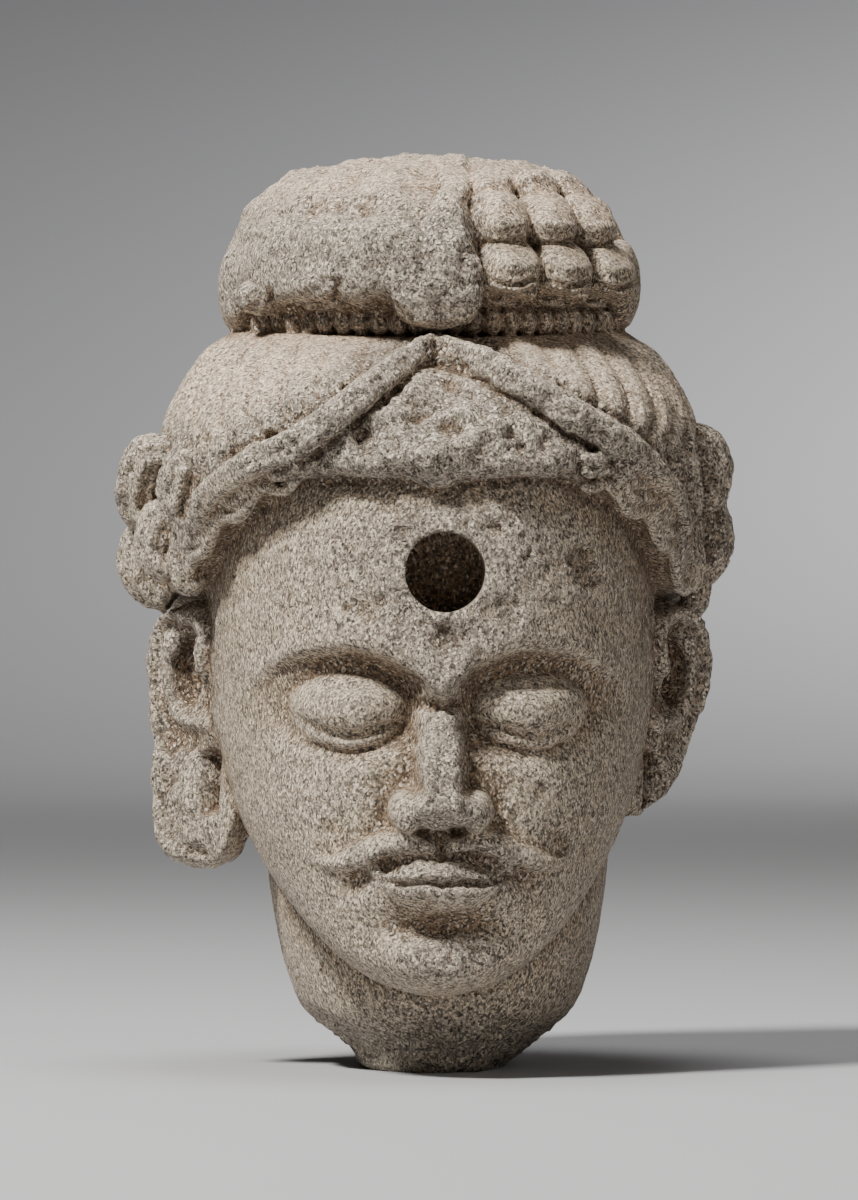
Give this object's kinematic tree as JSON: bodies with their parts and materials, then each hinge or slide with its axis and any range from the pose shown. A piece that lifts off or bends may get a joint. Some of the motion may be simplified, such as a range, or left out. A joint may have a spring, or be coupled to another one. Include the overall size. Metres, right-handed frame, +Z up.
{
  "type": "bodhisattva head",
  "caption": "Carved grey schist head with a topknot of locks, beaded band, waved hair, moustache, forehead socket and worn neck break.",
  "frame": {"origin": "middle of the flat patch under the neck that the head stands on", "axes": "+Z up, -Y the way the face looks, +X to the right of someone facing it"},
  "size_m": [0.2628, 0.2466, 0.3849],
  "materials": {
    "schist": "coarse mica-flecked grey schist, weathered, with tan patina in the recesses"
  },
  "bodies": {
    "root": {"bodhisattva_head": "schist"}
  },
  "joints": []
}
